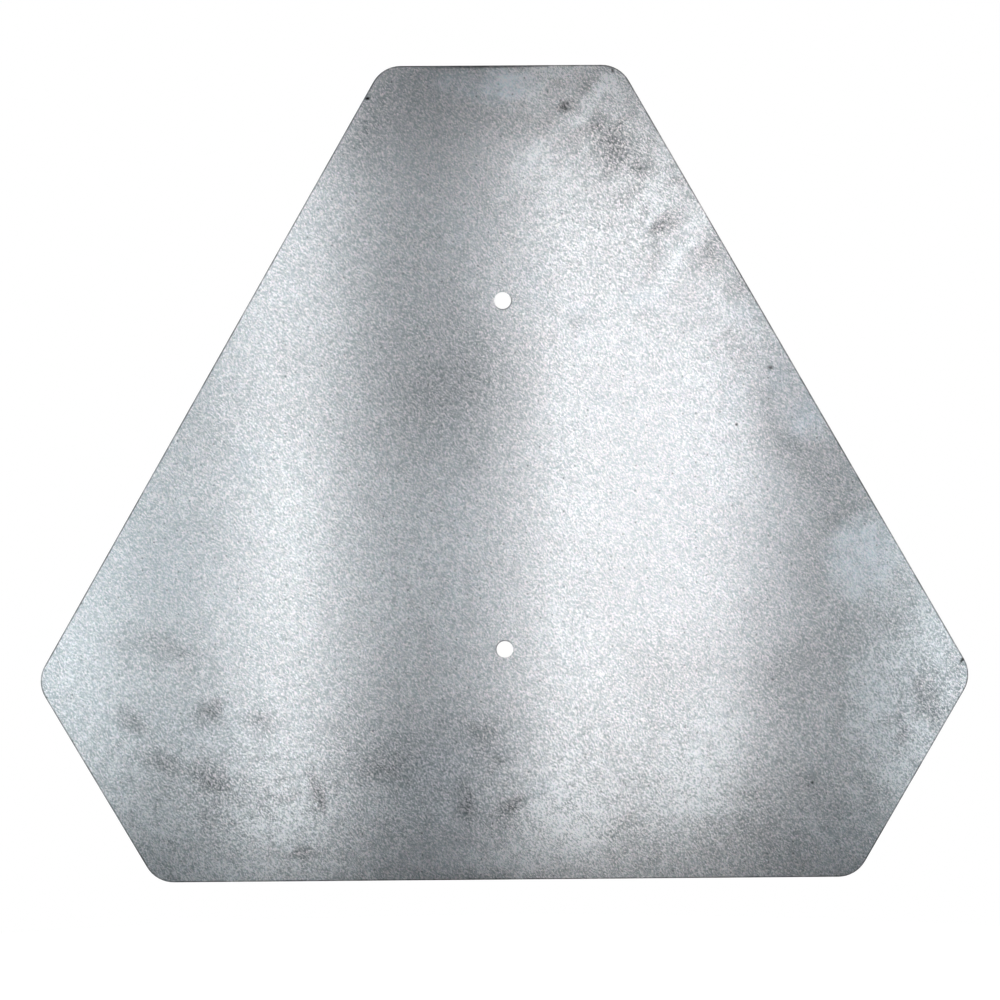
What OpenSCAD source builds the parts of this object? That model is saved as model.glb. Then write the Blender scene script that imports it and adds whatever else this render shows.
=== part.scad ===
// Slow moving vehicle sign: one blank of zinc-coated sheet steel.
// The outline is an equilateral triangle with its three points cut off and its
// six corners rounded, and it is fixed through two holes on the upright centre line.
// Lengths are in millimetres. +Z is up, the emblem side faces -Y and the bare
// back, which lies against the vehicle's bracket, is the plane y = 0.
// The origin is midway between the two mounting holes, on the back.

/* [Outline] */
// Height from the long bottom edge to the short top edge
plate_h = 355.6; // [330:0.1:380]
// Length of each of the three short sides, between the sharp corners
short_side = 102.8; // [70:0.1:130]
// Radius of the six rounded corners
corner_r = 13.6; // [3:0.1:25]

/* [Sheet] */
// Thickness of the sheet with its zinc coating
sheet_t = 0.8; // [0.5:0.05:2]

/* [Mounting holes] */
// Distance between the centres of the two holes
hole_pitch = 152.4; // [100:0.1:200]
// Diameter of each punched hole
hole_d = 7.4; // [5:0.1:11]
// Height of the middle of the plate above the point midway between the holes
plate_mid_z = 0; // [-10:0.1:10]

/* [Hidden] */

// long sides, from the height of the cut triangle
long_side = plate_h * 2 / sqrt(3) - short_side;
z_top = plate_mid_z + plate_h / 2;
z_bottom = plate_mid_z - plate_h / 2;
z_side = z_bottom + short_side * sqrt(3) / 2;
x_side = (long_side + short_side) / 2;

// sharp corners, anticlockwise from the right end of the top edge
corners = [
    [ short_side / 2, z_top],
    [-short_side / 2, z_top],
    [-x_side, z_side],
    [-long_side / 2, z_bottom],
    [ long_side / 2, z_bottom],
    [ x_side, z_side]
];

// every corner turns through 60 degrees, so its arc meets the two sides this far away
tangent_len = corner_r * tan(30);
// the arcs overlap the straight sides by a hair, so that each corner runs on
// from its two sides with no sliver between them
overlap = 0.001;

function toward(a, b) = (b - a) / norm(b - a);
function before(i) = corners[(i + 5) % 6];
function after(i) = corners[(i + 1) % 6];
function arc_start(i) = corners[i] + tangent_len * toward(corners[i], before(i));
function arc_end(i) = corners[i] + tangent_len * toward(corners[i], after(i));
function arc_centre(i) = corners[i] + corner_r / cos(30)
    * toward([0, 0], toward(corners[i], before(i)) + toward(corners[i], after(i)));

straight_outline = [for (i = [0:5]) each [arc_start(i), arc_end(i)]];

// the blank, lying flat, before it is stood up
module blank() {
    linear_extrude(height = sheet_t) polygon(straight_outline);
    for (i = [0:5])
        translate([arc_centre(i)[0], arc_centre(i)[1], 0])
            cylinder(h = sheet_t, r = corner_r + overlap, $fn = 96);
}

// one hole punched right through the blank
module mounting_hole(z) {
    translate([0, z, -1]) cylinder(h = sheet_t + 2, d = hole_d, $fn = 64);
}

module sign_plate() {
    color([0.66, 0.68, 0.69])
    rotate([90, 0, 0])
    difference() {
        blank();
        mounting_hole( hole_pitch / 2);
        mounting_hole(-hole_pitch / 2);
    }
}

sign_plate();
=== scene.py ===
"""Looks for a slow moving vehicle sign, seen from its bare back: zinc-coated sheet steel with handling marks, painted
sparkle and faint bands of painted reflection, a sheared rim with a painted dark edge line, and the plain two-colour
emblem on its front."""
import math
import bpy
from mathutils import Euler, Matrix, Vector

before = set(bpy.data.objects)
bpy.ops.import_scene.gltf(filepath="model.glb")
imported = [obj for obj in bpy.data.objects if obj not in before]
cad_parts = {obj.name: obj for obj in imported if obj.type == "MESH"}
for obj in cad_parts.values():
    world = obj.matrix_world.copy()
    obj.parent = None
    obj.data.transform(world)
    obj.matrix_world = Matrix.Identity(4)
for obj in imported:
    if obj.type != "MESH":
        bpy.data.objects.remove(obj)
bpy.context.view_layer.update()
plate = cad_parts["sign_plate"]
scene = bpy.context.scene

# ---------------------------------------------------------------- camera
CAM_AT = Vector((0.01007, 1.09047, 0.03951))
CAM_TURN = Euler((math.radians(87.365), math.radians(0.3965), math.radians(179.5427)))
CAM_LENS = 90.0
cam_data = bpy.data.cameras.new("camera")
cam_data.lens = CAM_LENS
cam_data.sensor_width = 36.0
cam_data.clip_start = 0.05
cam_data.clip_end = 50.0
cam = bpy.data.objects.new("camera", cam_data)
scene.collection.objects.link(cam)
cam.location = CAM_AT
cam.rotation_euler = CAM_TURN
scene.camera = cam
scene.view_settings.view_transform = "Standard"
scene.view_settings.look = "None"


def seen(px, py):
    """The spot on the plate's back that the photograph shows at a pixel, as (across, up) in mm. Across is -X."""
    ray = Vector(((px - 499.5) / 1000 * 36 / CAM_LENS, (499.5 - py) / 1000 * 36 / CAM_LENS, -1.0))
    ray.rotate(CAM_TURN)
    hit = CAM_AT + ray * (-CAM_AT.y / ray.y)
    return -hit.x * 1000, hit.z * 1000


PX = 0.4366  # one pixel of the photograph on the plate, mm


# ---------------------------------------------------------------- node helpers
def place_at(node, loc=(0, 0), turn=0.0, scale=(1, 1)):
    """Moves, turns and stretches a texture node's pattern by the node's own mapping."""
    own = node.texture_mapping
    own.vector_type = "TEXTURE"
    own.translation = (*loc, 0)
    own.rotation = (0, 0, math.radians(turn))
    own.scale = (*scale, 1)


class Net:
    """A small wrapper that makes shader nodes and wires them."""

    def __init__(self, tree):
        self.n = tree.nodes
        self.l = tree.links

    def put(self, kind, **props):
        node = self.n.new(kind)
        for k, v in props.items():
            setattr(node, k, v)
        return node

    def wire(self, value, socket):
        if hasattr(value, "is_output"):
            self.l.new(value, socket)
        elif value is not None:
            socket.default_value = value

    def math(self, op, a, b=None, c=None, clamp=False):
        node = self.put("ShaderNodeMath", operation=op, use_clamp=clamp)
        self.wire(a, node.inputs[0])
        self.wire(b, node.inputs[1])
        self.wire(c, node.inputs[2])
        return node.outputs[0]

    def vmath(self, op, a, b=None):
        node = self.put("ShaderNodeVectorMath", operation=op)
        self.wire(a, node.inputs[0])
        self.wire(b, node.inputs[1])
        return node.outputs["Value" if op in ("DOT_PRODUCT", "LENGTH", "DISTANCE") else "Vector"]

    def ramp(self, value, lo, hi, a=0.0, b=1.0, smooth=True):
        node = self.put("ShaderNodeMapRange", interpolation_type="SMOOTHSTEP" if smooth else "LINEAR", clamp=not smooth)
        self.wire(value, node.inputs["Value"])
        node.inputs["From Min"].default_value = lo
        node.inputs["From Max"].default_value = hi
        self.wire(a, node.inputs["To Min"])
        self.wire(b, node.inputs["To Max"])
        return node.outputs["Result"]

    def noise(self, vec, scale, detail=2.0, rough=0.5, colour=False, turn=0.0, stretch=1.0):
        node = self.put("ShaderNodeTexNoise", noise_dimensions="2D")
        self.wire(vec, node.inputs["Vector"])
        node.inputs["Scale"].default_value = scale
        node.inputs["Detail"].default_value = detail
        node.inputs["Roughness"].default_value = rough
        if turn:
            place_at(node, turn=turn, scale=(stretch, 1))
        return node.outputs["Color"] if colour else node.outputs[0]

    def cells(self, vec, scale, turn=0.0, stretch=1.0):
        node = self.put("ShaderNodeTexVoronoi", voronoi_dimensions="2D", feature="F1")
        self.wire(vec, node.inputs["Vector"])
        node.inputs["Scale"].default_value = scale
        place_at(node, turn=turn, scale=(stretch, 1))
        return node.outputs["Color"]

    def mix(self, fac, a, b, kind="MIX"):
        node = self.put("ShaderNodeMix", data_type="RGBA", blend_type=kind)
        self.wire(fac, node.inputs[0])
        self.wire(a if hasattr(a, "is_output") else (*a, 1.0), node.inputs[6])
        self.wire(b if hasattr(b, "is_output") else (*b, 1.0), node.inputs[7])
        return node.outputs[2]

    def fmix(self, fac, a, b):
        node = self.put("ShaderNodeMix", data_type="FLOAT")
        self.wire(fac, node.inputs[0])
        self.wire(a, node.inputs[2])
        self.wire(b, node.inputs[3])
        return node.outputs[0]

    def split(self, vec):
        node = self.put("ShaderNodeSeparateXYZ")
        self.wire(vec, node.inputs[0])
        return node.outputs

    def join(self, x, y, z=0.0):
        node = self.put("ShaderNodeCombineXYZ")
        for v, s in zip((x, y, z), node.inputs):
            self.wire(v, s)
        return node.outputs[0]

    def marks(self, vec, rows, name):
        """Sums soft ellipses in a group of its own. A row is pixel x, y, half width, half height, turn, amount, softness."""
        tree = bpy.data.node_groups.new(name, "ShaderNodeTree")
        tree.interface.new_socket(name="Place", in_out="INPUT", socket_type="NodeSocketVector")
        tree.interface.new_socket(name="Sum", in_out="OUTPUT", socket_type="NodeSocketFloat")
        k = Net(tree)
        place = k.put("NodeGroupInput").outputs[0]
        sums = {}  # marks of one amount and softness are added up first
        for x, y, rx, ry, turn, amount, soft in rows:
            reach = 2.6 if soft >= 0.8 else 1 + soft
            ball = k.put("ShaderNodeTexGradient", gradient_type="QUADRATIC_SPHERE" if soft >= 0.8 else "SPHERICAL")
            place_at(ball, seen(x, y), turn, (rx * PX * reach, ry * PX * reach))
            k.wire(place, ball.inputs[0])
            m, full = ball.outputs[1], 1.0
            if soft < 0.8:
                full = 2 * soft / reach
                m = k.math("MINIMUM", m, full)
            key = (round(amount, 2), full)
            sums[key] = k.math("ADD", sums[key], m) if key in sums else m
        total = 0.0
        for (amount, full), m in sums.items():
            total = k.math("MULTIPLY_ADD", m, amount / full, total)
        k.wire(total, k.put("NodeGroupOutput").inputs[0])
        node = self.put("ShaderNodeGroup")
        node.node_tree = tree
        self.wire(vec, node.inputs[0])
        return node.outputs[0]


# ---------------------------------------------------------------- the plate's own measures, mm
PLATE_H, SHORT, CORNER_R, HOLE_Z, HOLE_R = 355.6, 102.8, 13.6, 76.2, 3.7
S3 = math.sqrt(3)
IN_R = (2 * PLATE_H / S3 + SHORT) / (2 * S3)      # centre of the triangle to a long side
MID_Z = -PLATE_H / 2 + IN_R                         # height of that centre
FAR_R = 2 * IN_R - SHORT * S3 / 2                   # centre of the triangle to a short side
SIDES = [(math.radians(a), r) for a, r in ((90, FAR_R), (30, IN_R), (-30, FAR_R), (-90, IN_R))]  # the right half
TRI_R = 102.65                                      # centre to a side of the orange triangle


def rim_distance(g, x, y):
    """How far inside the rounded outline a point is, in mm, from the triangle's centre. The right half stands for both."""
    x = g.math("ABSOLUTE", x)
    beyond = [g.math("MULTIPLY_ADD", x, math.cos(a), g.math("MULTIPLY_ADD", y, math.sin(a), CORNER_R - r)) for a, r in SIDES]
    total = beyond[0]
    for a, b in zip(beyond, beyond[1:]):
        # sides meet at 120 degrees: between their normals the rim is an arc, and outside them a straight
        a0, b0 = g.math("MAXIMUM", a, 0.0), g.math("MAXIMUM", b, 0.0)
        apart = g.math("SUBTRACT", a0, b0)
        between = g.math("LESS_THAN", g.math("ABSOLUTE", apart), g.math("MINIMUM", a0, b0))
        q = g.math("MULTIPLY_ADD", a0, b0, g.math("MULTIPLY", apart, apart))
        arc = g.math("MULTIPLY", g.math("SQRT", g.math("MULTIPLY", q, 1 / 0.75)), between)
        total = g.math("MAXIMUM", total, g.math("MAXIMUM", b, arc))
    return g.math("SUBTRACT", CORNER_R, total)


# ---------------------------------------------------------------- marks on the back, at pixels of the photograph
# Patches that reflect more or less than the sheet round them: stains, finger smears, dull water marks, and two long
# faint streaks of painted light.
SOFT_MARKS = (
    # upper left edge and top
    (362, 132, 20, 50, -30, -0.22, 1.0), (400, 120, 48, 30, 0, -0.08, 1.0), (430, 92, 50, 14, 0, -0.05, 0.9),
    (500, 88, 28, 15, 5, 0.34, 0.6), (450, 81, 13, 8, 0, 0.22, 0.8), (470, 85, 10, 12, 0, -0.12, 0.9), (494, 118, 44, 15, 0, -0.10, 1.0),
    # broad dull cloud left of the middle
    (466, 390, 50, 44, 10, -0.21, 1.0), (478, 350, 24, 34, 20, -0.10, 1.0), (425, 404, 45, 34, 0, -0.11, 1.0),
    (404, 330, 60, 26, 0, -0.05, 1.0), (360, 372, 46, 26, 0, -0.06, 1.0), (474, 460, 24, 26, 0, -0.11, 1.0), (508, 722, 15, 22, 0, -0.14, 0.9), (372, 770, 16, 10, 0, -0.08, 0.9),
    (286, 366, 13, 9, -30, -0.11, 0.9), (322, 362, 8, 6, 0, -0.12, 0.9), (283, 414, 28, 16, 0, -0.08, 1.0),
    (356, 440, 20, 9, 20, -0.07, 1.0), (214, 424, 16, 22, -30, -0.09, 1.0), (246, 395, 18, 22, 0, -0.04, 1.0),
    (300, 260, 22, 12, -30, -0.05, 1.0), (337, 240, 24, 11, -40, -0.06, 1.0),
    # pale area below it
    # the long faint streak at 290, 540 on the next line is painted light, not a stain
    (428, 560, 46, 64, 0, 0.11, 1.0), (388, 600, 30, 50, 0, 0.04, 1.0), (290, 540, 22, 100, 0, 0.05, 1.0),
    # right half
    # the long faint streak at 561, 400 on the next line is painted light, not a stain
    (561, 400, 20, 230, 0, 0.07, 1.0), (556, 228, 18, 22, 0, 0.06, 1.0), (718, 430, 30, 60, -8, 0.10, 1.0),
    (738, 482, 24, 26, -20, 0.08, 1.0), (718, 588, 22, 16, 0, 0.07, 1.0), (662, 668, 28, 24, 0, -0.13, 1.0),
    (652, 720, 22, 34, 0, -0.06, 1.0), (721, 716, 20, 34, 0, 0.12, 1.0), (700, 768, 22, 17, 20, 0.15, 0.9),
    (694, 803, 32, 13, 10, 0.20, 0.9), (735, 745, 9, 16, -25, 0.10, 0.9), (682, 762, 22, 60, 0, 0.07, 1.0), (706, 800, 12, 10, 0, 0.08, 0.9), (833, 812, 9, 14, 0, -0.14, 0.9), (905, 672, 18, 9, -30, 0.12, 0.9), (903, 768, 18, 30, 15, 0.10, 0.9), (914, 664, 14, 26, -20, 0.06, 0.9), (712, 782, 24, 26, 0, 0.15, 0.9), (676, 826, 18, 12, -20, 0.08, 1.0),
    (800, 395, 10, 22, -25, 0.10, 0.9), (813, 424, 17, 13, 30, 0.19, 0.6), (786, 440, 15, 26, -30, -0.10, 0.9), (758, 605, 16, 18, 0, -0.13, 0.9), (812, 600, 26, 110, 0, -0.05, 0.9), (768, 400, 9, 22, -10, -0.20, 0.9),
    (788, 442, 25, 15, -30, -0.17, 0.9), (808, 471, 20, 15, -30, -0.14, 1.0), (846, 468, 10, 30, -30, -0.06, 1.0),
    (832, 500, 24, 20, -30, -0.06, 1.0), (805, 560, 30, 30, 0, -0.05, 1.0),
    # left and right ends
    (118, 645, 15, 12, 0, -0.11, 0.9), (148, 638, 15, 9, 0, -0.17, 0.9), (176, 653, 19, 11, -15, -0.25, 0.9),
    (80, 655, 22, 16, 0, 0.05, 1.0), (190, 610, 18, 12, 0, 0.04, 1.0), (90, 705, 14, 22, 0, 0.05, 1.0),
    (875, 676, 22, 17, -30, 0.21, 0.8), (868, 715, 19, 24, 0, 0.22, 0.7), (884, 744, 12, 9, 0, 0.15, 0.8),
    (920, 733, 9, 8, 0, 0.22, 0.8), (893, 771, 13, 12, 0, 0.26, 0.7), (924, 634, 15, 14, -40, 0.18, 0.8),
    (902, 640, 12, 8, -30, 0.10, 0.9), (922, 686, 14, 15, 10, -0.26, 0.8), (890, 618, 18, 9, -20, -0.15, 0.9), (956, 654, 9, 12, -30, -0.10, 0.9), (957, 686, 7, 15, 0, -0.16, 0.9), (930, 707, 14, 18, 20, -0.26, 0.7),
    (960, 668, 8, 12, 0, -0.13, 0.9), (899, 728, 6, 13, 15, -0.24, 0.8), (776, 672, 30, 28, 0, -0.16, 1.0),
    (802, 655, 18, 15, 0, -0.10, 1.0), (776, 722, 24, 36, 10, -0.11, 1.0), (756, 775, 18, 22, 0, -0.08, 1.0),
    (812, 782, 16, 14, 0, -0.16, 0.9), (842, 640, 22, 16, -20, -0.09, 1.0), (850, 800, 20, 14, 30, 0.05, 1.0),
    # foot
    (385, 769, 20, 13, 0, -0.29, 0.8), (432, 770, 80, 70, 0, -0.06, 0.9), (350, 752, 22, 14, -15, -0.09, 1.0), (330, 728, 20, 12, 0, -0.06, 1.0),
    (420, 740, 44, 18, 0, -0.07, 1.0), (404, 754, 38, 24, 0, -0.09, 1.0), (214, 815, 13, 24, 0, -0.22, 0.9), (463, 721, 18, 20, -20, -0.12, 0.9), (480, 732, 11, 11, 0, -0.30, 0.9),
    (495, 757, 14, 11, 0, -0.30, 0.9), (440, 790, 50, 16, 0, -0.08, 1.0), (500, 823, 14, 11, 30, -0.20, 0.9),
    (562, 815, 36, 24, 10, 0.30, 0.8), (525, 842, 20, 12, 20, 0.20, 0.9), (582, 841, 20, 12, 0, 0.20, 0.9), (603, 830, 13, 15, 0, 0.12, 0.9), (328, 778, 9, 8, 0, -0.10, 0.9), (235, 872, 60, 8, 0, 0.18, 0.9), (118, 800, 13, 20, -30, 0.10, 0.9), (494, 878, 56, 9, 0, -0.22, 0.9),
    (562, 772, 18, 30, 0, 0.13, 0.9), (560, 622, 20, 30, 0, 0.07, 0.9), (353, 690, 26, 50, 0, -0.05, 0.9), (540, 800, 12, 12, 0, 0.10, 0.9), (626, 822, 13, 18, 20, -0.20, 0.9), (624, 853, 24, 10, 0, -0.12, 0.9),
    (738, 838, 38, 15, 0, -0.17, 0.9), (752, 800, 22, 22, 0, -0.10, 1.0), (800, 842, 26, 12, -20, -0.06, 1.0),
    (282, 821, 32, 20, 0, 0.20, 0.9), (256, 836, 20, 12, 0, 0.14, 0.9), (300, 786, 9, 9, 0, 0.18, 0.8),
    (169, 827, 22, 15, 0, 0.15, 1.0), (206, 833, 26, 11, 0, 0.08, 1.0), (230, 868, 80, 6, 0, 0.13, 0.9),
    (430, 862, 150, 9, 0, 0.06, 0.9), (480, 860, 30, 13, 0, 0.17, 0.9), (540, 864, 46, 9, 0, 0.14, 0.9), (285, 778, 14, 7, 0, -0.16, 0.9), (333, 789, 8, 9, 0, -0.14, 0.9), (300, 840, 14, 8, 0, 0.12, 0.9),
)
# The same, with a plainer edge: finger smears at the upper right, round water marks, prints at the lower left.
CLEAR_MARKS = (
    (616, 150, 26, 28, -30, -0.22, 0.8), (627, 164, 14, 12, -30, -0.10, 0.8), (646, 169, 10, 8, -30, -0.22, 0.7), (675, 182, 9, 5, 10, -0.24, 0.6), (664, 166, 8, 9, -30, 0.14, 0.8), (614, 143, 14, 15, -20, -0.12, 0.8),
    (600, 132, 12, 9, 30, -0.16, 0.8), (575, 134, 16, 7, 40, -0.16, 0.8), (552, 143, 9, 5, 30, -0.12, 0.8),
    (583, 84, 14, 6, 55, -0.20, 0.7), (560, 86, 7, 12, -20, -0.10, 0.8), (566, 106, 6.5, 5, 10, -0.42, 0.6), (601, 126, 9, 9, 0, -0.18, 0.8), (640, 184, 12, 7, -20, 0.12, 0.8), (570, 110, 20, 10, 30, -0.10, 0.9),
    (548, 121, 13, 6, 40, -0.12, 0.8), (528, 120, 12, 7, 20, -0.10, 0.8), (597, 92, 23, 6, 52, 0.34, 0.6),
    (580, 118, 10, 5, 40, 0.24, 0.7), (538, 92, 6, 20, -28, 0.20, 0.8), (612, 84, 7, 9, 20, 0.30, 0.8), (549, 70, 20, 5, 0, 0.34, 0.8), (595, 86, 4, 17, 18, 0.18, 0.8), (572, 832, 11, 5, -40, 0.30, 0.8),
    (524, 168, 8, 22, -42, 0.16, 0.8), (536, 150, 6, 20, -50, 0.22, 0.7), (545, 166, 4, 18, -35, 0.18, 0.8), (550, 190, 5, 16, -30, 0.08, 0.8),
    (634, 118, 12, 20, 28, 0.06, 0.8), (600, 190, 7, 12, -20, -0.08, 0.8), (620, 205, 7, 8, 0, -0.10, 0.8),
    (640, 192, 9, 6, -40, -0.12, 0.8), (658, 200, 8, 6, 10, 0.14, 0.8), (682, 186, 8, 6, -60, -0.10, 0.8),
    (667, 222, 16, 7, 22, -0.24, 0.6), (660, 229, 9, 7, 10, -0.14, 0.8), (642, 226, 7, 6, 0, -0.12, 0.8),
    (652, 260, 7, 15, -20, -0.17, 0.7), (681, 254, 5, 22, -32, 0.12, 0.7), (668, 270, 5, 24, -28, 0.10, 0.7),
    (712, 248, 13, 18, -30, -0.24, 0.8), (704, 262, 12, 9, 0, -0.12, 0.8), (744, 283, 9, 13, 30, -0.24, 0.8),
    (729, 288, 6, 9, 20, -0.10, 0.8), (685, 300, 9, 16, -20, -0.09, 0.8), (716, 300, 12, 10, 0, 0.08, 0.8),
    (700, 222, 8, 16, -30, 0.10, 0.8), (584, 318, 13, 4, 32, -0.16, 0.8), (574, 324, 4, 8, 0, -0.14, 0.8),
    (642, 312, 8, 7, 0, -0.10, 0.8), (660, 322, 6, 9, 0, -0.07, 0.8), (737, 318, 11, 8, 0, 0.10, 0.8),
    (738, 348, 9, 16, -20, -0.17, 0.8), (652, 365, 8, 10, 0, -0.08, 0.9), (756, 330, 9, 9, 0, 0.10, 0.8),
    (862, 556, 36, 42, -18, 0.15, 0.22), (850, 580, 16, 12, 0, 0.06, 0.8), (838, 515, 24, 8, 35, -0.15, 0.8), (876, 602, 9, 8, 0, 0.14, 0.8), (866, 536, 20, 14, 0, 0.05, 0.8),
    (161, 761, 14, 10, 0, -0.27, 0.7), (184, 771, 14, 6, -25, -0.14, 0.8), (209, 776, 17, 11, -20, -0.27, 0.7),
    (218, 786, 10, 8, 0, -0.12, 0.8), (172, 787, 22, 8, 0, -0.10, 0.9), (250, 790, 22, 9, 0, -0.12, 0.8),
    (133, 722, 15, 9, -30, -0.29, 0.7), (208, 709, 14, 9, 25, -0.32, 0.7), (218, 714, 6, 10, 10, -0.14, 0.7),
    (203, 722, 12, 6, -10, -0.09, 0.8), (258, 719, 13, 8, 10, -0.34, 0.8), (268, 729, 7, 8, 0, -0.18, 0.8),
    (317, 790, 4, 22, 20, -0.26, 0.6), (322, 803, 5, 9, 10, -0.14, 0.7), (293, 796, 14, 5, 20, -0.14, 0.8), (262, 808, 8, 10, 0, -0.10, 0.8),
    (303, 853, 16, 6, 5, -0.31, 0.7), (270, 850, 14, 5, 0, -0.10, 0.8), (467, 806, 8, 14, 10, -0.32, 0.7), (512, 804, 15, 6, 30, -0.32, 0.7),
    (462, 782, 8, 10, 0, -0.10, 0.8), (532, 826, 9, 6, 0, -0.08, 0.8),
)
# Bluish white dull film: its amount cools the colour. Below nought the sheet is greyer. The three long bands at the end
# of the list are painted reflection: the bluish and grey tint that the sheet mirrors from its surroundings.
COOL_MARKS = (
    (500, 87, 30, 14, 5, 1.0, 0.5), (450, 80, 13, 8, 0, 1.0, 0.8), (532, 282, 14, 24, 0, 0.5, 0.9), (574, 312, 16, 9, 0, 0.5, 0.8),
    (641, 298, 15, 9, 0, 0.8, 0.8), (585, 330, 14, 16, 0, 0.4, 0.9), (600, 402, 10, 10, 0, 0.4, 0.9), (745, 312, 11, 9, 0, 0.7, 0.8),
    (735, 400, 9, 12, 0, 0.6, 0.9), (778, 378, 10, 26, -25, 0.8, 0.8), (804, 416, 14, 24, -30, 1.0, 0.7), (862, 554, 32, 37, -15, 0.85, 0.4),
    (245, 462, 13, 18, -20, 0.6, 0.8), (168, 566, 36, 40, 0, 0.5, 0.9), (430, 765, 44, 36, 0, 0.6, 0.9), (540, 788, 13, 8, 30, 0.9, 0.8),
    (517, 738, 14, 20, 0, 0.4, 0.9), (200, 730, 60, 20, 0, 0.4, 0.9), (878, 690, 22, 34, 0, 0.4, 0.9), (830, 832, 40, 20, 0, 0.5, 1.0),
    # the last three, long bands, are painted reflection tint, not a film
    (468, 232, 18, 16, 0, 0.4, 0.9), (458, 520, 56, 400, 0, 0.8, 0.9), (446, 815, 50, 60, 0, 0.5, 0.9), (785, 560, 42, 260, 0, 0.4, 0.9), (284, 560, 44, 300, 0, -0.5, 0.9),
)
# Where the mottling is coarser and has more painted sparkle (or, below nought, is calmer).
COARSE_MARKS = (
    (640, 175, 60, 110, -30, 0.44, 0.8), (915, 690, 70, 90, 0, 0.42, 0.7), (265, 815, 110, 55, 0, 0.60, 0.8),
    (540, 800, 150, 70, 0, 0.50, 0.8), (710, 820, 110, 50, 0, 0.35, 0.8), (745, 330, 40, 90, -30, 0.20, 0.8), (170, 735, 90, 60, 0, 0.20, 0.9),
    # the last two rows calm the grain where the bright reflected band lies: a painted effect of that highlight
    (425, 140, 75, 70, 0, -0.32, 0.8), (170, 580, 70, 90, 0, -0.22, 0.9), (430, 850, 70, 25, 0, -0.3, 0.9), (800, 560, 60, 90, 0, -0.1, 0.9), (655, 470, 64, 110, 0, -0.30, 0.9), (640, 540, 80, 170, 0, -0.14, 0.9),
)
# Where wiping fingers have left short slanting smears.
SMEARED = (
    (600, 130, 60, 50, -20, 0.9, 0.9), (665, 235, 40, 60, -30, 0.8, 0.9), (735, 340, 30, 60, -30, 0.5, 0.9),
    (905, 670, 45, 55, -30, 0.6, 0.9), (540, 810, 60, 35, 0, 0.5, 0.9), (255, 800, 70, 45, 0, 0.4, 0.9),
)
# Nicks, pits and scratches; the last number of a mark is its softness.
NICKS = (
    (367, 98, 2.2, 1.5, 0, -0.95, 0.5), (962, 659, 1.3, 4.2, -32, -0.9, 0.5), (560, 100, 1.0, 1.0, 0, -0.6, 0.6),
    (770, 367, 2.4, 1.8, 0, -0.8, 0.7), (736, 424, 1.4, 1.4, 0, -0.85, 0.6), (772, 679, 1.2, 1.2, 0, -0.6, 0.6),
    (812, 782, 1.6, 1.4, 0, -0.75, 0.6), (808, 785, 1.1, 1.1, 0, -0.6, 0.6), (612, 70, 1.2, 2.4, 20, -0.7, 0.6), (575, 336, 1.1, 1.1, 0, -0.4, 0.7),
    (187, 824, 64, 0.55, 0, -0.14, 0.7), (232, 823, 16, 0.7, 0, -0.12, 0.7), (800, 819, 46, 0.55, 0, -0.12, 0.7),
    (400, 112, 26, 0.6, -2, -0.10, 0.7), (482, 66.6, 48, 1.1, 0.3, -0.55, 0.5), (441, 70, 9, 1.6, 0, -0.22, 0.8),
    (614, 111, 12, 0.7, 0, -0.12, 0.7), (630, 821, 14, 0.7, 0, -0.14, 0.7),
)

# ---------------------------------------------------------------- material
mat = bpy.data.materials.new("zinc_coated_steel")
mat.use_nodes = True
g = Net(mat.node_tree)
g.n.clear()
out = g.put("ShaderNodeOutputMaterial")
bsdf = g.put("ShaderNodeBsdfPrincipled")
g.l.new(bsdf.outputs[0], out.inputs[0])
tc = g.put("ShaderNodeTexCoord")
pos = g.split(tc.outputs["Object"])
nrm = g.split(tc.outputs["Normal"])
# seen from the back, across runs to the right, which is -X; millimetres
across, up = g.math("MULTIPLY", pos[0], -1000.0), g.math("MULTIPLY", pos[2], 1000.0)
above = g.math("SUBTRACT", up, MID_Z)
flat_p = g.join(across, up)
rim = rim_distance(g, across, above)
is_rim = g.math("LESS_THAN", g.math("ABSOLUTE", nrm[1]), 0.45)
is_front = g.math("LESS_THAN", nrm[1], -0.45)

# zinc coating: fine grain drawn out along the rolling streaks, mottling, then the marks
fine = g.cells(flat_p, 3.05, -48, 2.1)
fine3 = g.split(fine)
# the grain's own tone, with its brightest grains pushed brighter still: painted sparkle
speck = g.math("SUBTRACT", g.math("MULTIPLY_ADD", g.math("MULTIPLY", fine3[0], g.math("MULTIPLY_ADD", fine3[0], 0.55, 0.45)), 1.20, g.math("MULTIPLY", g.noise(flat_p, 1.5, 1.0, turn=-48, stretch=2.0), 0.22)), 0.60)
mid = g.math("SUBTRACT", g.noise(flat_p, 0.62, 2.0, 0.6, turn=-48, stretch=1.4), 0.5)
patch = g.math("SUBTRACT", g.noise(flat_p, 0.16, 3.0, 0.6), 0.5)
cloud = g.math("SUBTRACT", g.noise(flat_p, 0.03, 1.0, 0.55), 0.5)
smear = g.math("SUBTRACT", g.noise(flat_p, 0.15, 2.0, 0.6, turn=50, stretch=2.8), 0.5)
warp = g.vmath("SUBTRACT", g.noise(flat_p, 0.11, 3.0, 0.62, colour=True), (0.5, 0.5, 0.5))
soft_p = g.vmath("ADD", flat_p, g.vmath("MULTIPLY", warp, (16.0, 16.0, 0.0)))
clear_p = g.vmath("ADD", flat_p, g.vmath("MULTIPLY", warp, (7.0, 7.0, 0.0)))
coarse = g.math("ADD", 1.0, g.marks(soft_p, COARSE_MARKS, "coarse_marks"))
cool = g.math("MINIMUM", g.marks(clear_p, COOL_MARKS, "cool_marks"), 1.2)
dull = g.math("MAXIMUM", cool, 0.0)
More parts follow.
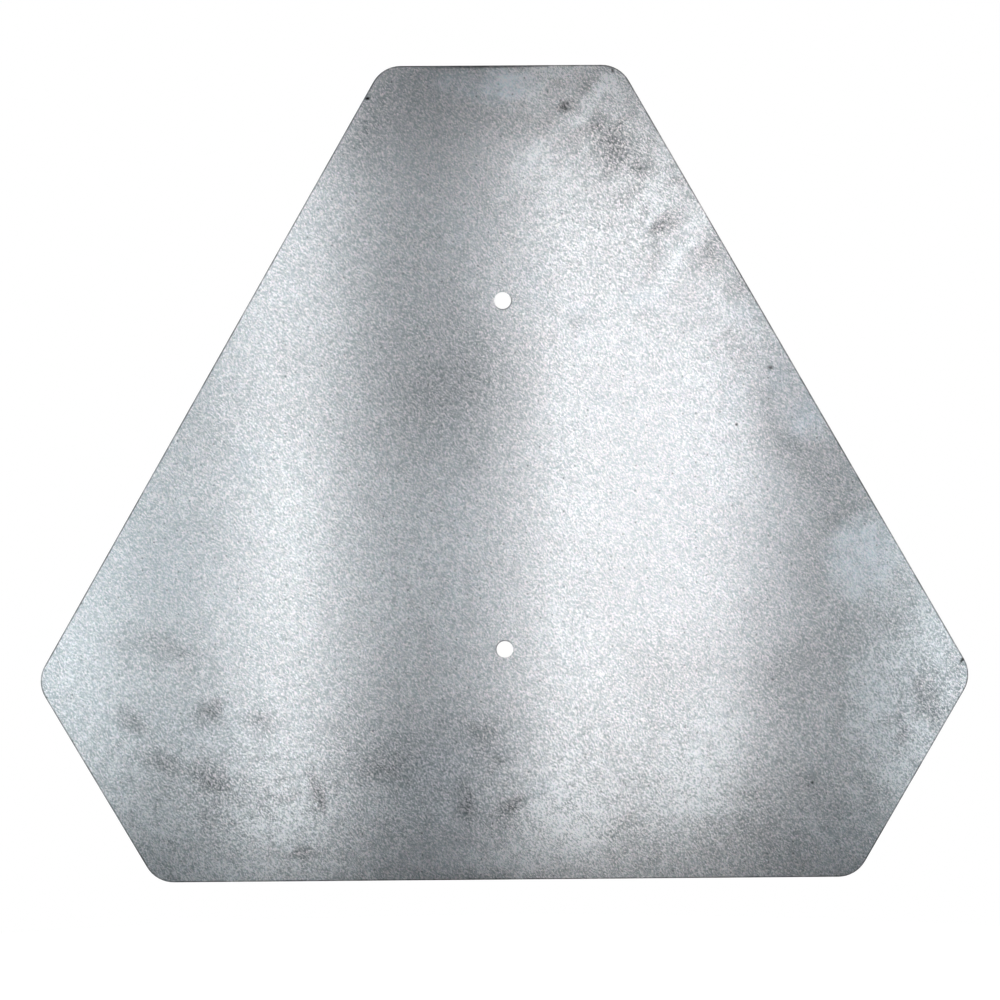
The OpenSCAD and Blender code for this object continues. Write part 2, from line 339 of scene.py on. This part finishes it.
# stains, smears and water marks added up, with two faint bands of painted light among them
stains_and_light_bands = g.math("ADD", g.marks(soft_p, SOFT_MARKS, "soft_marks"), g.math("MULTIPLY", g.marks(clear_p, CLEAR_MARKS, "clear_marks"), 1.2))
stains_and_light_bands = g.math("MULTIPLY", stains_and_light_bands, g.ramp(g.math("MULTIPLY_ADD", mid, 0.6, patch), -0.22, 0.22, 0.70, 1.35, smooth=False))
stains_and_light_bands = g.math("ADD", stains_and_light_bands, g.math("MULTIPLY", g.marks(soft_p, SMEARED, "smeared"), smear))
# a stain takes the dark grains first and a dull film fills them; on bare bright sheet the bright grains are brightened
# instead, a painted sparkle
bare = g.math("MULTIPLY", g.math("GREATER_THAN", stains_and_light_bands, 0.0), g.math("SUBTRACT", 1.0, g.math("MINIMUM", dull, 1.0)))
stains_and_light_bands = g.math("MULTIPLY", stains_and_light_bands, g.math("MULTIPLY_ADD", g.math("SUBTRACT", 0.5, fine3[0]), g.math("MULTIPLY_ADD", bare, -1.9, 1.1), 1.0))
grain = g.math("ADD", g.math("MULTIPLY", speck, 0.60), g.math("MULTIPLY", mid, 0.18))
grain = g.math("ADD", grain, g.math("MULTIPLY", g.math("MULTIPLY", patch, 0.30), coarse))
grain = g.math("MULTIPLY", grain, g.math("MULTIPLY", coarse, g.math("SUBTRACT", 1.0, g.math("MULTIPLY", dull, 0.15))))
nicks = g.marks(flat_p, NICKS, "nicks")
# pinholes scattered in the coating
pit = g.put("ShaderNodeTexVoronoi", voronoi_dimensions="2D", feature="F1")
g.wire(flat_p, pit.inputs["Vector"])
pit.inputs["Scale"].default_value = 0.19
pits = g.math("MULTIPLY", g.ramp(pit.outputs["Distance"], 0.110, 0.030), g.ramp(g.split(pit.outputs["Color"])[0], 0.50, 1.0, 0.0, 0.62, smooth=False))
nicks = g.math("SUBTRACT", nicks, pits)
tone = g.math("ADD", 1.0, g.math("ADD", g.math("MULTIPLY", cloud, 0.10), stains_and_light_bands))
tone = g.math("MULTIPLY", tone, g.math("ADD", 1.0, grain))
tone = g.math("MULTIPLY", tone, g.math("MAXIMUM", g.math("ADD", 1.0, nicks), 0.04))
# the sheared rim: a thin dark line, uneven along the edge, is painted dark reflection of the rounded rim, and painted
# shade lies in a crescent round one side of each hole
edge_n = g.noise(flat_p, 0.09, 0.0)
# painted reflection: the dark that the rounded rim mirrors, drawn as a thin dark line along the outline
line = g.math("MULTIPLY", g.ramp(rim, 0.80, 0.15), g.ramp(edge_n, 0.3, 0.7, 0.55, 0.88))
low = g.math("SIGN", up)  # +1 at the upper hole, -1 at the lower
hv = g.math("MULTIPLY_ADD", low, -HOLE_Z, up)
dist = g.math("SQRT", g.math("MULTIPLY_ADD", hv, hv, g.math("MULTIPLY", across, across)))
lean = g.math("DIVIDE", g.math("MULTIPLY", g.math("MULTIPLY_ADD", across, 0.65, g.math("MULTIPLY", hv, -0.76)), low), dist)
# painted shade: a dark crescent round one side of each hole
hole_crescent_shade = g.math("MULTIPLY", g.ramp(dist, HOLE_R + 0.65, HOLE_R + 0.15), g.ramp(lean, -0.5, 0.8, 0.05, 0.72))
line = g.math("MAXIMUM", line, hole_crescent_shade)
# the painted rim reflection and the painted hole shade darken the sheet's tone
tone = g.math("MULTIPLY", tone, g.math("SUBTRACT", 1.0, line))
tone = g.math("MINIMUM", g.math("MAXIMUM", g.math("MULTIPLY", tone, 0.70), 0.015), 0.98)
hue = g.vmath("ADD", (1.0, 1.0, 1.0), g.vmath("MULTIPLY", g.vmath("SUBTRACT", fine, (0.5, 0.5, 0.5)), (0.19, 0.06, 0.06)))
# bluish tint where the film is, and painted reflection tint along the long bands
hue = g.vmath("ADD", hue, g.vmath("MULTIPLY", g.join(cool, cool, cool), (-0.034, 0.0, 0.026)))
zinc = g.vmath("MULTIPLY", g.join(tone, tone, tone), hue)

# sheared steel of the cut edge
cut = g.ramp(g.noise(flat_p, 0.8, 1.0), 0.3, 0.7, 0.22, 0.42)
cut_c = g.vmath("MULTIPLY", g.join(cut, cut, cut), (1.0, 0.97, 0.93))

# the emblem: a fluorescent orange triangle in a dark red reflective border
tri = g.math("MAXIMUM", g.math("MULTIPLY", above, -1.0),
             g.math("MULTIPLY_ADD", g.math("ABSOLUTE", across), math.cos(math.radians(30)), g.math("MULTIPLY", above, 0.5)))
in_tri = g.ramp(tri, TRI_R + 0.08, TRI_R - 0.08)
film = g.math("SUBTRACT", g.noise(flat_p, 0.35, 1.0), 0.5)
beads = fine3[1]
orange = g.vmath("MULTIPLY", g.join(1.0, 0.145, 0.008), g.join(g.math("MULTIPLY_ADD", film, 0.04, 1.0), g.math("MULTIPLY_ADD", film, 0.06, 1.0), 1.0))
redv = g.math("ADD", g.math("MULTIPLY_ADD", beads, 0.16, 0.92), g.math("MULTIPLY", film, 0.10))
red = g.vmath("MULTIPLY", g.join(redv, redv, redv), (0.33, 0.006, 0.010))
seam = g.math("MULTIPLY", g.ramp(g.math("ABSOLUTE", g.math("SUBTRACT", tri, TRI_R)), 0.35, 0.05), 0.35)
emblem = g.mix(in_tri, red, orange)
emblem = g.mix(seam, emblem, (0.20, 0.01, 0.01))

colour = g.mix(is_front, zinc, emblem)
colour = g.mix(is_rim, colour, cut_c)
g.wire(colour, bsdf.inputs["Base Color"])
not_metal = g.math("MULTIPLY", is_front, g.math("SUBTRACT", 1.0, is_rim))
g.wire(g.math("SUBTRACT", 1.0, not_metal), bsdf.inputs["Metallic"])
zr = g.math("ADD", g.math("MULTIPLY_ADD", patch, 0.05, 0.315), g.math("MULTIPLY", dull, 0.015))
fr = g.math("MULTIPLY_ADD", film, 0.05, g.fmix(in_tri, 0.30, 0.38))
rough = g.fmix(is_rim, g.fmix(is_front, zr, fr), 0.5)
g.wire(rough, bsdf.inputs["Roughness"])
bsdf.inputs["Specular IOR Level"].default_value = 0.35
# relief: zinc grain on the back, orange peel and beads on the film, in metres
relief = g.math("MULTIPLY", g.noise(flat_p, 0.95, 2.0, 0.6, turn=-48, stretch=1.75), g.math("MULTIPLY_ADD", is_front, -0.6, 1.0))
bump = g.put("ShaderNodeBump")
bump.inputs["Strength"].default_value = 1.0
bump.inputs["Distance"].default_value = 0.000012
g.wire(relief, bump.inputs["Height"])
g.l.new(bump.outputs[0], bsdf.inputs["Normal"])

for slot in plate.material_slots:
    slot.material = mat
if not plate.material_slots:
    plate.data.materials.append(mat)
# the carried-over mesh is split along its sharp edges, so it is joined up before its rim is rounded
joined = plate.modifiers.new("joined", "WELD")
joined.merge_threshold = 0.000002
soft_edge = plate.modifiers.new("rolled_edge", "BEVEL")
soft_edge.width = 0.00018
soft_edge.segments = 2
soft_edge.limit_method = "ANGLE"
soft_edge.angle_limit = math.radians(40)
soft_edge.harden_normals = False

# ---------------------------------------------------------------- light
BACK_LIGHTS = (  # across, up, width, height in mm, radiance, colour
    (-119.9, 23.4, 40.8, 480.7, 3.013, (0.905, 0.957, 1.0)),
    (76.0, -9.0, 146.0, 411.7, 1.284, (0.943, 0.973, 1.0)),
    (-255.4, -43.9, 100.3, 305.6, 1.555, (0.867, 0.953, 1.0)),
    (264.9, -35.8, 37.6, 368.5, 3.126, (0.878, 0.953, 1.0)),
    (40.0, -8.0, 40.0, 440.0, 0.602, (0.96, 0.962, 1.0)),
    (120.0, 0.0, 40.0, 270.0, 0.582, (0.94, 0.93, 1.0)),
    (-160.0, 0.0, 40.0, 450.0, 0.071, (0.74, 0.94, 1.0)),
)


def area(name, loc, toward, w, h, radiance, colour=(1, 1, 1)):
    data = bpy.data.lights.new(name, "AREA")
    data.shape = "RECTANGLE"
    data.size, data.size_y = w, h
    data.energy = radiance * math.pi * w * h
    data.color = colour
    ob = bpy.data.objects.new(name, data)
    ob.location = loc
    ob.rotation_euler = (Vector(toward) - Vector(loc)).to_track_quat("-Z", "Y").to_euler()
    ob.visible_camera = False
    scene.collection.objects.link(ob)
    return ob


for i, (a, u, w, h, rad, tint) in enumerate(BACK_LIGHTS):
    y = 0.30 + 0.002 * i  # no two in one plane, or one hides the other from the reflection
    area(f"strip_{i}", (-a / 1000, y, u / 1000), (-a / 1000, 0.0, u / 1000), w / 1000, h / 1000, rad, tint)
# what the bare back mirrors when it is seen at an angle
for side in (-1, 1):
    area(f"wing_{side}", (0.95 * side, 0.95, -0.30), (0, 0, 0), 0.75, 1.3, 0.55, (0.80, 0.90, 1.0))
# the emblem's side: one large soft light high on the left and a weaker one on the right
area("key", (-0.9, -1.5, 0.9), (0, 0, 0), 1.2, 1.2, 1.9)
area("fill", (1.3, -1.2, 0.3), (0, 0, 0), 0.9, 1.2, 0.7)

world = bpy.data.worlds.new("studio")
scene.world = world
world.use_nodes = True
wn = Net(world.node_tree)
wn.n.clear()
wout = wn.put("ShaderNodeOutputWorld")
white = wn.put("ShaderNodeBackground")
white.inputs[0].default_value = (1, 1, 1, 1)
white.inputs[1].default_value = 1.0
room = wn.put("ShaderNodeBackground")
room.inputs[1].default_value = 1.0
wtc = wn.put("ShaderNodeTexCoord")
wd = wn.split(wtc.outputs["Generated"])
# behind the photographer the room is dim, cooler low down; elsewhere it is a plain light grey
dim = wn.mix(wn.ramp(wd[2], -0.35, 0.30), (0.000, 0.004, 0.006), (0.003, 0.001, 0.006))
around = wn.mix(wn.ramp(wd[1], 0.0, -0.35), (0.33, 0.35, 0.37), (0.52, 0.53, 0.54))
wn.wire(wn.mix(wn.ramp(wd[1], 0.75, 0.25), dim, around), room.inputs[0])
path = wn.put("ShaderNodeLightPath")
wm = wn.put("ShaderNodeMixShader")
wn.l.new(path.outputs["Is Camera Ray"], wm.inputs[0])
wn.l.new(room.outputs[0], wm.inputs[1])
wn.l.new(white.outputs[0], wm.inputs[2])
wn.l.new(wm.outputs[0], wout.inputs[0])

# ---------------------------------------------------------------- floor
FLOOR_Z, FLOOR_R = -0.75, 2.6
verts = [(FLOOR_R * math.cos(k * math.tau / 96), FLOOR_R * math.sin(k * math.tau / 96), FLOOR_Z) for k in range(96)]
mesh = bpy.data.meshes.new("floor")
mesh.from_pydata(verts, [], [list(range(96))])
floor = bpy.data.objects.new("floor", mesh)
scene.collection.objects.link(floor)
fm = bpy.data.materials.new("floor_white")
fm.use_nodes = True
fb = fm.node_tree.nodes["Principled BSDF"]
fb.inputs["Base Color"].default_value = (0.9, 0.9, 0.9, 1)
fb.inputs["Roughness"].default_value = 0.9
fb.inputs["Emission Color"].default_value = (1, 1, 1, 1)
fb.inputs["Emission Strength"].default_value = 0.8
mesh.materials.append(fm)
floor.visible_glossy = False
